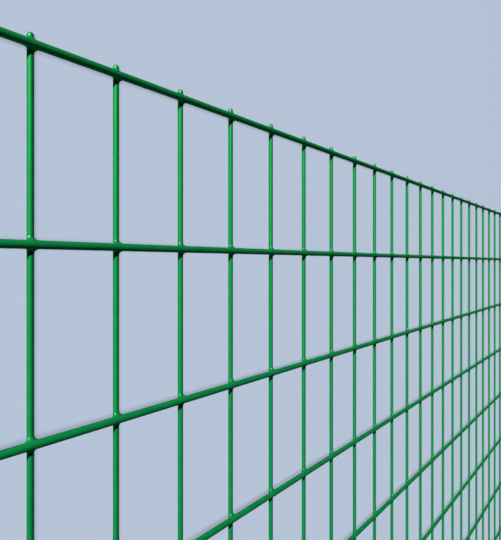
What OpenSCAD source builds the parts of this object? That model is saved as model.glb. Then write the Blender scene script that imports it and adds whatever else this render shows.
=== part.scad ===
// Flat panel of coated welded wire mesh fencing, lying on its cross wires.
// X runs along the line wires and Y along the cross wires, and Z is up.
// The origin is the middle of the panel, at the underside of the cross wires.

/* [Mesh] */
// Spacing of the cross wires along the panel, axis to axis
cross_pitch = 50; // [25:1:100]
// Spacing of the line wires across the panel, axis to axis
line_pitch = 100; // [25:1:200]
// Number of cross wires
cross_count = 41; // [6:1:51]
// Number of line wires
line_count = 11; // [2:1:16]

/* [Wires] */
// Diameter of a line wire over its coat, measured across its flats
line_d = 4.5; // [3:0.1:8]
// Diameter of a cross wire over its coat, measured across its flats
cross_d = 3.5; // [3:0.1:8]
// How far the two wires sink into each other at a weld
weld_sink = 1.5; // [0.2:0.1:2]

/* [Ends] */
// Length of a cross wire past the axis of the edge line wire
cross_stub = 6.5; // [5:0.5:40]
// Length of a line wire past the axis of the end cross wire
line_stub = 6.5; // [5:0.5:40]

/* [Hidden] */
NODES = ["mesh_left", "mesh_middle", "mesh_right"];

coat_colour = [0.06, 0.5, 0.22];

// Wires are drawn with few sides, one of them facing straight down
wire_sides = 8;
half_side_angle = 180 / wire_sides;

// The rounded end of a wire: its taper and the flat left at its tip, as shares of the diameter
tip_taper_share = 0.3;
tip_flat_share = 0.5;

// The outline that trims a wire's ends stands clear of its sides by this share of the diameter
trim_clear_share = 0.5;

// How far a trimming solid runs past what it trims
overrun = 5;

mesh_length = (cross_count - 1) * cross_pitch;
mesh_width = (line_count - 1) * line_pitch;
line_length = mesh_length + 2 * line_stub;
cross_length = mesh_width + 2 * cross_stub;
cross_axis_z = cross_d / 2;
line_axis_z = cross_d - weld_sink + line_d / 2;
panel_height = cross_d - weld_sink + line_d;

function cross_x(column) = column * cross_pitch - mesh_length / 2;
function line_y(row) = row * line_pitch - mesh_width / 2;

// First cross wire of a bay, where each node is one bay of the panel
function first_column(bay) = round(bay * cross_count / len(NODES));

// Where the line wires are divided, midway between two cross wires, or past the panel's own end
function bay_edge(bay) =
    bay == 0 ? -line_length / 2 - overrun
    : bay == len(NODES) ? line_length / 2 + overrun
    : cross_x(first_column(bay)) - cross_pitch / 2;

// A wire seen from the side: straight, with both ends tapering to a small flat.
// The tapers run on past the wire's sides, so the outline cuts only the ends.
module trimmed_ends(length, d) {
    tip = d * tip_flat_share / 2;
    clear = d * trim_clear_share;
    taper = d * tip_taper_share * (d / 2 + clear - tip) / (d / 2 - tip);
    end = length / 2;
    shoulder = end - taper;
    side = d / 2 + clear;
    polygon([
        [end, tip], [shoulder, side], [-shoulder, side], [-end, tip],
        [-end, -tip], [-shoulder, -side], [shoulder, -side], [end, -tip]
    ]);
}

// A straight wire along X, centred, with its ends rounded off in plan and from the side
module wire(length, d) {
    trim_depth = d + 2 * overrun;
    intersection() {
        rotate([0, 90, 0])
            rotate(half_side_angle)
                cylinder(
                    h = length + 2 * overrun,
                    d = d / cos(half_side_angle),
                    center = true,
                    $fn = wire_sides
                );
        linear_extrude(trim_depth, center = true)
            trimmed_ends(length, d);
        rotate([90, 0, 0])
            linear_extrude(trim_depth, center = true)
                trimmed_ends(length, d);
    }
}

module cross_wires(bay)
    for (column = [first_column(bay) : first_column(bay + 1) - 1])
        translate([cross_x(column), 0, cross_axis_z])
            rotate(90)
                wire(cross_length, cross_d);

// The stretch of the panel that belongs to one bay
module bay_space(bay)
    translate([bay_edge(bay), -mesh_width / 2 - line_d, -overrun])
        cube([
            bay_edge(bay + 1) - bay_edge(bay),
            mesh_width + 2 * line_d,
            panel_height + 2 * overrun
        ]);

module line_wires(bay)
    intersection() {
        for (row = [0 : line_count - 1])
            translate([0, line_y(row), line_axis_z])
                wire(line_length, line_d);
        bay_space(bay);
    }

// One bay of the mesh, with its wires fused at every weld
module mesh_bay(bay)
    union() {
        cross_wires(bay);
        line_wires(bay);
    }

module mesh_left()
    color(coat_colour) mesh_bay(0);

module mesh_middle()
    color(coat_colour) mesh_bay(1);

module mesh_right()
    color(coat_colour) mesh_bay(2);

mesh_left();
mesh_middle();
mesh_right();
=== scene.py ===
"""A flat panel of green coated welded wire mesh fencing, lying on a plain studio floor."""
import math
from collections import namedtuple

import bpy
import numpy as np
from mathutils import Matrix, Vector


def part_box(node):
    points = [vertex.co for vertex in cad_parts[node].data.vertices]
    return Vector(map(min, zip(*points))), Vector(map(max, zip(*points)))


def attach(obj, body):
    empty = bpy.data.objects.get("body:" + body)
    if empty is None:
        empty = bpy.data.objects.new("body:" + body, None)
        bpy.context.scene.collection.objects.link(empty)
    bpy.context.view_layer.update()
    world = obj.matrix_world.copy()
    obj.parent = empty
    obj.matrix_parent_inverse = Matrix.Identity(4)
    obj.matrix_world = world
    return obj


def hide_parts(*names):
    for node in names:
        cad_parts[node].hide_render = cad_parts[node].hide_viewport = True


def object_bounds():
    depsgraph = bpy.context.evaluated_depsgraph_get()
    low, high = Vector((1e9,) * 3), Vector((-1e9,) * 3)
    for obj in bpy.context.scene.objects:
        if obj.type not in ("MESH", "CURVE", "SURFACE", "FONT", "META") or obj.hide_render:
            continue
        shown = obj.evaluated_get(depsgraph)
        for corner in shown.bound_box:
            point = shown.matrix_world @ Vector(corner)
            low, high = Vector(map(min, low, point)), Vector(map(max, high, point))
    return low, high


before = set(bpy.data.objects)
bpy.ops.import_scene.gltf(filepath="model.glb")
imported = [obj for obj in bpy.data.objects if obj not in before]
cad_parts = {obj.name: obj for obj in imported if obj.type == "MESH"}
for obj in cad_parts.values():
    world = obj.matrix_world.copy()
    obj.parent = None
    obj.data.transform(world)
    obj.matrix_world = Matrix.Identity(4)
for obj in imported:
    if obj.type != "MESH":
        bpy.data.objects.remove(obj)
cad_low, cad_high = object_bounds()

# A patch of a wire's surface: its points, and where they lie along and round the wire
Patch = namedtuple("Patch", "points along angle")

# A family of like wires: the axis they run along, their radius, the half length of the opening that is cut
# round each weld, and the function that draws a patch of one
Family = namedtuple("Family", "axis radius opening draw")

# A noise pattern: the size of its features in metres, and how much finer detail it has
Pattern = namedtuple("Pattern", "size detail")

# A distant light: its strength, its width as seen from the panel, and the direction towards it
Light = namedtuple("Light", "strength width towards")

# The panel, in metres: X runs along the line wires, Y along the cross wires and Z is up
CROSS_PITCH = 0.050
LINE_PITCH = 0.100
LINE_D = 0.0045
CROSS_D = 0.0035
WELD_SINK = 0.0015
STUB = 0.0065

# Radius of the coat's fillet round each weld
FILLET_R = 0.0024

LINE_R = LINE_D / 2
CROSS_R = CROSS_D / 2
CROSS_Z = cad_low.z + CROSS_R
LINE_Z = cad_low.z + CROSS_D - WELD_SINK + LINE_R

# Half length of the stretch of each wire that is cut open round a weld, to let the fillet in.
# At the panel's edge it runs up to the wire's round end.
LINE_OPEN = STUB - LINE_R
CROSS_OPEN = STUB - CROSS_R

# How finely the mesh is drawn, in faces
SIDES = 24
OPEN_SIDES = 18
OPEN_RINGS = 6
BRIDGE_STEPS = 2
FILLET_STEPS = 5
DOME_STEPS = 6

SIDE_ANGLE = 2 * math.pi / SIDES
OPEN_ANGLE = OPEN_SIDES // 2 * SIDE_ANGLE

# The turns round a weld at which the fillet's seat is worked out, which run past a whole turn at both ends
SEAT_SAMPLES = 1081
SPARE_TURN = math.pi / 2

# Only the flat caps, where the panel is divided into bays, meet their neighbours at more than this angle
SHARP_ANGLE = math.radians(60)

# Points in the same cell of this size are one vertex, and the shift keeps round sizes off the cells' edges
MERGE_STEP = 1e-6
MERGE_SHIFT = 0.37

# The coat's UV map for baking has this name. Each wire has a strip of it, with bare edges.
# A cap lies in the bare edge past the end of its strip, and takes these shares of it either way.
MAP_NAME = "OFBake"
STRIP_EDGE = 0.04
MAP_EDGE = 0.01
CAP_ACROSS = 0.3
CAP_ALONG = 0.3

# The coat: its colours, the gloss of the plastic and of its clear skin, and its patterns.
# Colour and gloss go from one end of their range to the other over the middle of their noise.
COAT_DARK = (0.0010, 0.114, 0.042, 1)
COAT_LIGHT = (0.0013, 0.138, 0.054, 1)
COAT_TINT = (0.035, 1.0, 0.095, 1)
COAT_IOR = 2.0
COAT_SHINE = 1.0
COAT_ROUGH = (0.68, 0.72)
GLAZE = 0.6
GLAZE_ROUGH = 0.18
MOTTLE = Pattern(0.006, 3)
HAZE = Pattern(0.02, 4)
PEEL = Pattern(0.0012, 1)
PEEL_DEPTH = 0.00002
NOISE_MIDDLE = (0.35, 0.65)

# The stage
FLOOR_HALF = 30.0
FLOOR_COLOUR = (0.63, 0.74, 0.92, 1)
FLOOR_ROUGH = 0.9
BACKDROP_COLOUR = (0.474, 0.558, 0.680, 1)

# The key and the fill light the wires alone, and the other two the floor alone
KEY_LIGHT = Light(5.6, math.radians(2), Vector((-1.0, 0.75, 0.5)))
FILL_LIGHT = Light(1.5, math.radians(60), Vector((0.9, -0.2, 0.0)))
FLOOR_LIGHT = Light(0.9, math.radians(30), Vector((-0.85, -0.1, 1.0)))
FLOOR_WASH = Light(1.65, math.radians(30), Vector((0.0, 0.0, 1.0)))

# The camera, fitted to the photo of 501 by 540 pixels: it stands off from one weld of the top line wire
PHOTO_HIGH = 540
FOCAL_PX = 467.56
SHIFT_PX = -6.61
SENSOR_MM = 36.0
CAMERA_TURN = math.radians(50.53)
CAMERA_COLUMN = 10
CAMERA_FROM_WELD = Vector((-0.16072, -0.10937, 0.23400))
CAMERA_CLIP = 0.01


def weld_places(low, high, pitch):
    """Where wires of one pitch stand between two ends of the panel."""
    first = low + STUB
    return first + pitch * np.arange(round((high - STUB - first) / pitch) + 1)


COLUMNS = weld_places(cad_low.x, cad_high.x, CROSS_PITCH)
ROWS = weld_places(cad_low.y, cad_high.y, LINE_PITCH)


def line_patch(along, angle):
    """A patch of a line wire through the origin, with angle counted from its underside towards +Y."""
    along, angle = np.broadcast_arrays(along, angle)
    points = np.stack([along, LINE_R * np.sin(angle), LINE_Z - LINE_R * np.cos(angle)], axis=-1)
    return Patch(points, along, angle)


def cross_patch(along, angle):
    """A patch of a cross wire through the origin, with angle counted from its top towards +X."""
    along, angle = np.broadcast_arrays(along, angle)
    points = np.stack([CROSS_R * np.sin(angle), along, CROSS_Z + CROSS_R * np.cos(angle)], axis=-1)
    return Patch(points, along, angle)


LINE = Family(0, LINE_R, LINE_OPEN, line_patch)
CROSS = Family(1, CROSS_R, CROSS_OPEN, cross_patch)


def fillet_ball(turn):
    """Centre of a ball of the fillet's radius that touches both wires, in direction turn round the weld."""
    reach_line = LINE_R + FILLET_R
    reach_cross = CROSS_R + FILLET_R
    gap = LINE_Z - CROSS_Z
    cos2 = np.cos(turn) ** 2
    sin2 = np.sin(turn) ** 2
    # The ball's height over the cross wire's axis solves a quadratic, since its offsets from the two wires
    # are both set by that height and their ratio is set by the turn
    square = sin2 - cos2
    linear = 2 * cos2 * gap
    constant = cos2 * (reach_line ** 2 - gap ** 2) - sin2 * reach_cross ** 2
    height = -2 * constant / (linear + np.sqrt(linear ** 2 - 4 * square * constant))
    off_line = np.sqrt(np.maximum(reach_line ** 2 - (height - gap) ** 2, 0))
    off_cross = np.sqrt(np.maximum(reach_cross ** 2 - height ** 2, 0))
    out = np.hypot(off_line, off_cross)
    return np.stack([out * np.cos(turn), out * np.sin(turn), CROSS_Z + height], axis=-1)


def fillet_seat_on_line(turn):
    """Where the fillet meets the line wire: the place along it and the angle round it."""
    ball = fillet_ball(turn)
    return ball[..., 0], np.arctan2(ball[..., 1], LINE_Z - ball[..., 2])


def fillet_seat_on_cross(turn):
    """Where the fillet meets the cross wire: the place along it and the angle round it."""
    ball = fillet_ball(turn)
    return ball[..., 1], np.arctan2(ball[..., 0], ball[..., 2] - CROSS_Z)


def fillet_patch(turn, share):
    """The fillet, from the line wire at share 0 to the cross wire at share 1."""
    ball = fillet_ball(turn)
    from_line = (line_patch(*fillet_seat_on_line(turn)).points - ball) / FILLET_R
    from_cross = (cross_patch(*fillet_seat_on_cross(turn)).points - ball) / FILLET_R
    bend = np.arccos(np.clip(np.sum(from_line * from_cross, axis=-1), -1, 1))
    near = np.sin((1 - share) * bend) / np.sin(bend)
    far = np.sin(share * bend) / np.sin(bend)
    points = ball + FILLET_R * (near[..., None] * from_line + far[..., None] * from_cross)
    return Patch(points, points[..., 0], np.arctan2(points[..., 1], LINE_Z - points[..., 2]))


def opening_loop(half_long, half_wide, long_steps, wide_steps):
    """A rectangle's outline, from the middle of its +U side round to the start: U and V of each point."""
    side = np.arange(-wide_steps // 2, wide_steps // 2) * 2 * half_wide / wide_steps
    top = np.arange(long_steps // 2, -long_steps // 2, -1) * 2 * half_long / long_steps
    u = np.concatenate([np.full(wide_steps, half_long), top, np.full(wide_steps, -half_long), -top])
    v = np.concatenate([side, np.full(long_steps, half_wide), -side, np.full(long_steps, -half_wide)])
    turned = -(wide_steps // 2)
    u, v = np.roll(u, turned), np.roll(v, turned)
    return np.append(u, u[0]), np.append(v, v[0])


def bearing_on_line(along, angle):
    """The direction from the weld to a place on the line wire, on its surface rolled out flat."""
    return np.arctan2(angle * LINE_R, along)


def bearing_on_cross(along, angle):
    """The direction from the weld to a place on the cross wire, on its surface rolled out flat."""
    return np.arctan2(along, angle * CROSS_R)


def matching_turns(outline, seat, bearing):
    """The turns at which the fillet's seat on a wire has the bearings of the outline of its opening."""
    turns = np.linspace(-SPARE_TURN, 2 * math.pi + SPARE_TURN, SEAT_SAMPLES)
    return np.interp(np.unwrap(bearing(*outline)), np.unwrap(bearing(*seat(turns))), turns)


def bridge_patch(draw, first, last):
    """A wire's surface between two outlines, each given as places along the wire and angles round it."""
    share = np.linspace(0, 1, BRIDGE_STEPS + 1)[:, None]
    along, angle = (start + (end - start) * share for start, end in zip(first, last))
    return draw(along, angle)


def back_patch(family):
    """The side of a wire that faces away from a weld."""
    along = np.linspace(-family.opening, family.opening, OPEN_RINGS + 1)
    angle = np.linspace(OPEN_ANGLE, 2 * math.pi - OPEN_ANGLE, SIDES - OPEN_SIDES + 1)
    return family.draw(along, angle[:, None])


def weld_patches():
    """The surface round a weld above the origin: the line wire's patches, then the cross wire's.

    Each wire has its side that faces away from the weld, and a bridge between its opening and the fillet.
    The fillet goes with the line wire.
    """
    along, angle = opening_loop(LINE_OPEN, OPEN_ANGLE, OPEN_RINGS, OPEN_SIDES)
    line_turns = matching_turns((along, angle), fillet_seat_on_line, bearing_on_line)
    line_bridge = bridge_patch(line_patch, (along, angle), fillet_seat_on_line(line_turns))

    angle, along = opening_loop(OPEN_ANGLE, CROSS_OPEN, OPEN_SIDES, OPEN_RINGS)
    cross_turns = matching_turns((along, angle), fillet_seat_on_cross, bearing_on_cross)
    cross_bridge = bridge_patch(cross_patch, fillet_seat_on_cross(cross_turns), (along, angle))

    share = np.linspace(0, 1, FILLET_STEPS + 1)[:, None]
    fillet = fillet_patch(line_turns + (cross_turns - line_turns) * share, share)
    return (back_patch(LINE), line_bridge, fillet), (back_patch(CROSS), cross_bridge)


def ring_angles():
    """Angles round a whole wire, from one edge of its openings back to that edge."""
    return np.arange(SIDES + 1) * SIDE_ANGLE - OPEN_ANGLE


def dome_patch(family, tip, outward):
    """The round end of a wire through the origin, whose tip is at a place along it."""
    lift = np.linspace(0, math.pi / 2, DOME_STEPS + 1)[::outward]
    along = tip - outward * family.radius * (1 - np.sin(lift))
    rim = family.draw(along, ring_angles()[:, None])
    middle = (rim.points[0] + rim.points[SIDES // 2]) / 2
    points = middle + (rim.points - middle) * np.cos(lift)[:, None]
    return Patch(points, rim.along, rim.angle)


class Surface:
    """Collects the patches of one bay, and joins them into one mesh where their points meet."""

    def __init__(self, strips):
        self.strips = strips
        self.points = []
        self.places = []
        self.quads = []
        self.caps = []
        self.count = 0

    def add_points(self, points, places):
        """Keeps points and their places on the map, and returns their numbers in the same arrangement."""
        shape = points.shape[:-1]
        numbers = self.count + np.arange(math.prod(shape)).reshape(shape)
        self.points.append(points.reshape(-1, 3))
        self.places.append(places.reshape(-1, 2))
        self.count += numbers.size
        return numbers

    def add_patch(self, points, places):
        """Adds a grid of points as quads that face along rows x columns."""
        grid = self.add_points(points, places)
        corners = (grid[:-1, :-1], grid[1:, :-1], grid[1:, 1:], grid[:-1, 1:])
        self.quads.append(np.stack(corners, axis=-1).reshape(-1, 4))

    def add_cap(self, points, places):
        """Adds a ring of points as one flat face."""
        self.caps.append(self.add_points(points, places))

    def mesh(self, name):
        """The joined mesh, smooth but for its caps."""
        points = np.concatenate(self.points)
        cells = np.floor(points / MERGE_STEP + MERGE_SHIFT).astype(np.int64)
        _, first, merged = np.unique(cells, axis=0, return_index=True, return_inverse=True)
        merged = merged.reshape(-1)
        quads = np.concatenate(self.quads)
        # At a dome's tip two corners of a quad meet, and one is dropped
        kept = merged[quads] != np.roll(merged[quads], 1, axis=1)
        corners = np.concatenate([quads[kept], *self.caps])
        sizes = np.concatenate([kept.sum(axis=1), np.full(len(self.caps), SIDES)])

        mesh = bpy.data.meshes.new(name)
        mesh.vertices.add(len(first))
        mesh.vertices.foreach_set("co", points[first].ravel())
        mesh.loops.add(len(corners))
        mesh.loops.foreach_set("vertex_index", merged[corners])
        mesh.polygons.add(len(sizes))
        mesh.polygons.foreach_set("loop_start", np.cumsum(sizes) - sizes)
        mesh.polygons.foreach_set("use_smooth", sizes < SIDES)
        mesh.update(calc_edges=True)
        mesh.set_sharp_from_angle(angle=SHARP_ANGLE)
        places = np.concatenate(self.places)[corners] / (self.strips, 1)
        mesh.uv_layers.new(name=MAP_NAME).uv.foreach_set("vector", places.ravel())
        return mesh


class Wire:
    """One straight wire of a bay, which adds its surface to the bay's."""

    def __init__(self, surface, family, offset, ends, strip):
        self.surface = surface
        self.family = family
        self.ends = ends
        self.strip = strip
        self.place = np.zeros(3)
        self.place[1 - family.axis] = offset

    def on_map(self, along, angle):
        """Places on the map, across it in strips and up it in shares of its height."""
        low, high = self.ends
        across = self.strip + STRIP_EDGE + (1 - 2 * STRIP_EDGE) * (angle + OPEN_ANGLE) / (2 * math.pi)
        up = MAP_EDGE + (1 - 2 * MAP_EDGE) * (along - low) / (high - low)
        return np.stack([across, up], axis=-1)

    def add(self, patch, shift=0.0):
        """Adds a patch that was drawn on a wire through the origin, moved along the wire."""
        place = self.place.copy()
        place[self.family.axis] = shift
        self.surface.add_patch(patch.points + place, self.on_map(patch.along + shift, patch.angle))

    def add_stretch(self, start, end):
        """Adds a plain stretch."""
        self.add(self.family.draw(np.array([start, end]), ring_angles()[:, None]))

    def add_cut(self, at, outward):
        """Closes the end with a flat cap, whose place on the map is past the end of the wire's strip."""
        angles = ring_angles()[:-1][::outward]
        ring = self.family.draw(np.full(SIDES, at), angles)
        edge = (outward + 1) / 2
        across = self.strip + 0.5 + CAP_ACROSS * np.sin(angles)
        up = edge - outward * MAP_EDGE * (0.5 + CAP_ALONG * np.cos(angles))
        self.surface.add_cap(ring.points + self.place, np.stack([across, up], axis=-1))

    def build(self, welds, weld_surface, rounded):
        """Adds the welds, the plain stretches between them and the two ends, rounded or cut."""
        for weld in welds:
            for patch in weld_surface:
                self.add(patch, weld)
        stops = [weld + side * self.family.opening for weld in welds for side in (-1, 1)]
        for at, outward, is_round in zip(self.ends, (-1, 1), rounded):
            if is_round:
                self.add(dome_patch(self.family, at, outward))
                stops.append(at - outward * self.family.radius)
            else:
                self.add_cut(at, outward)
                stops.append(at)
        stops.sort()
        for start, end in zip(stops[::2], stops[1::2]):
            if end - start > MERGE_STEP:
                self.add_stretch(start, end)


def make_bay(node, name, on_line, on_cross):
    """One bay of the mesh, in the place of a CAD node, with a weld's patches on both wires of a crossing."""
    low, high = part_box(node)
    columns = COLUMNS[(COLUMNS > low.x) & (COLUMNS < high.x)]
    surface = Surface(len(ROWS) + len(columns))
    at_end = (low.x - cad_low.x < MERGE_STEP, cad_high.x - high.x < MERGE_STEP)
    for strip, y in enumerate(ROWS):
        Wire(surface, LINE, y, (low.x, high.x), strip).build(columns, on_line, at_end)
    for strip, x in enumerate(columns, len(ROWS)):
        Wire(surface, CROSS, x, (low.y, high.y), strip).build(ROWS, on_cross, (True, True))

    piece = bpy.data.objects.new(name, surface.mesh(name))
    bpy.context.scene.collection.objects.link(piece)
    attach(piece, "root")
    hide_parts(node)
    return piece


def noise(material, pattern):
    """Noise of a pattern through the panel."""
    nodes = material.node_tree.nodes
    place = nodes.new("ShaderNodeTexCoord")
    field = nodes.new("ShaderNodeTexNoise")
    field.inputs["Scale"].default_value = 1 / pattern.size
    field.inputs["Detail"].default_value = pattern.detail
    material.node_tree.links.new(place.outputs["Object"], field.inputs["Vector"])
    return field.outputs["Fac"]


def green_coat():
    """Glossy green plastic coat: faintly mottled, with patches of softer gloss and a fine orange peel."""
    material = bpy.data.materials.new("green_coat")
    material.use_nodes = True
    nodes = material.node_tree.nodes
    links = material.node_tree.links
    shader = nodes["Principled BSDF"]
    shader.inputs["IOR"].default_value = COAT_IOR
    shader.inputs["Specular IOR Level"].default_value = COAT_SHINE
    shader.inputs["Specular Tint"].default_value = COAT_TINT
    shader.inputs["Coat Weight"].default_value = GLAZE
    shader.inputs["Coat Roughness"].default_value = GLAZE_ROUGH

    mottle = nodes.new("ShaderNodeValToRGB")
    for element, position, colour in zip(mottle.color_ramp.elements, NOISE_MIDDLE, (COAT_DARK, COAT_LIGHT)):
        element.position = position
        element.color = colour
    links.new(noise(material, MOTTLE), mottle.inputs["Fac"])
    links.new(mottle.outputs["Color"], shader.inputs["Base Color"])

    haze = nodes.new("ShaderNodeMapRange")
    haze.inputs["From Min"].default_value, haze.inputs["From Max"].default_value = NOISE_MIDDLE
    haze.inputs["To Min"].default_value, haze.inputs["To Max"].default_value = COAT_ROUGH
    links.new(noise(material, HAZE), haze.inputs["Value"])
    links.new(haze.outputs["Result"], shader.inputs["Roughness"])

    peel = nodes.new("ShaderNodeBump")
    peel.inputs["Distance"].default_value = PEEL_DEPTH
    links.new(noise(material, PEEL), peel.inputs["Height"])
    links.new(peel.outputs["Normal"], shader.inputs["Normal"])
    links.new(peel.outputs["Normal"], shader.inputs["Coat Normal"])
    return material


def pale_floor():
    """A wide plain floor under the panel, which the wires don't mirror."""
    mesh = bpy.data.meshes.new("floor")
    corners = [(x * FLOOR_HALF, y * FLOOR_HALF, cad_low.z) for x, y in ((-1, -1), (1, -1), (1, 1), (-1, 1))]
    mesh.from_pydata(corners, [], [(0, 1, 2, 3)])
    floor = bpy.data.objects.new("floor", mesh)
    floor.visible_glossy = False
    bpy.context.scene.collection.objects.link(floor)
    material = bpy.data.materials.new("floor")
    material.use_nodes = True
    shader = material.node_tree.nodes["Principled BSDF"]
    shader.inputs["Base Color"].default_value = FLOOR_COLOUR
    shader.inputs["Roughness"].default_value = FLOOR_ROUGH
    mesh.materials.append(material)
    return floor


def distant_light(name, light, receivers):
    """A distant lamp, which falls only on the objects given."""
    data = bpy.data.lights.new(name, "SUN")
    data.energy = light.strength
    data.angle = light.width
    lamp = bpy.data.objects.new(name, data)
    lamp.rotation_euler = light.towards.to_track_quat("Z", "Y").to_euler()
    bpy.context.scene.collection.objects.link(lamp)
    lit = bpy.data.collections.new(name + "_receivers")
    for receiver in receivers:
        lit.objects.link(receiver)
    lamp.light_linking.receiver_collection = lit
    return lamp


def light_panel(bays):
    """The key, with a faint fill from the far side that the coat doesn't mirror."""
    distant_light("key", KEY_LIGHT, bays)
    fill = distant_light("fill", FILL_LIGHT, bays)
    fill.visible_glossy = False


def light_floor(floor):
    """A soft light whose shadows are kept faint by a wash that casts none."""
    distant_light("floor_light", FLOOR_LIGHT, [floor])
    wash = distant_light("floor_wash", FLOOR_WASH, [floor])
    wash.data.use_shadow = False


def backdrop():
    """An even pale colour beyond the floor, which lights nothing."""
    world = bpy.data.worlds.new("backdrop")
    bpy.context.scene.world = world
    world.use_nodes = True
    world.node_tree.nodes["Background"].inputs["Color"].default_value = BACKDROP_COLOUR
    world.cycles_visibility.diffuse = False
    world.cycles_visibility.glossy = False


def photo_camera():
    """The camera at the photo's viewing angle."""
    data = bpy.data.cameras.new("camera")
    data.sensor_width = SENSOR_MM
    data.lens = SENSOR_MM * FOCAL_PX / PHOTO_HIGH
    data.shift_y = SHIFT_PX / PHOTO_HIGH
    data.clip_start = CAMERA_CLIP
    camera = bpy.data.objects.new("camera", data)
    right = Vector((math.cos(CAMERA_TURN), 0, math.sin(CAMERA_TURN)))
    up = Vector((0, 1, 0))
    axes = Matrix((right, up, right.cross(up))).transposed().to_4x4()
    weld = Vector((COLUMNS[CAMERA_COLUMN], ROWS[-1], CROSS_Z))
    camera.matrix_world = Matrix.Translation(weld + CAMERA_FROM_WELD) @ axes
    bpy.context.scene.collection.objects.link(camera)
    bpy.context.scene.camera = camera


on_line, on_cross = weld_patches()
bays = [
    make_bay("mesh_" + side, side + "_mesh", on_line, on_cross)
    for side in ("left", "middle", "right")
]
coat = green_coat()
for bay in bays:
    bay.data.materials.append(coat)
    # The key lights the wires far more than the floor is lit, so they would throw too much green on it
    bay.visible_diffuse = False

light_panel(bays)
light_floor(pale_floor())
backdrop()
photo_camera()
bpy.context.scene.view_settings.view_transform = "Standard"
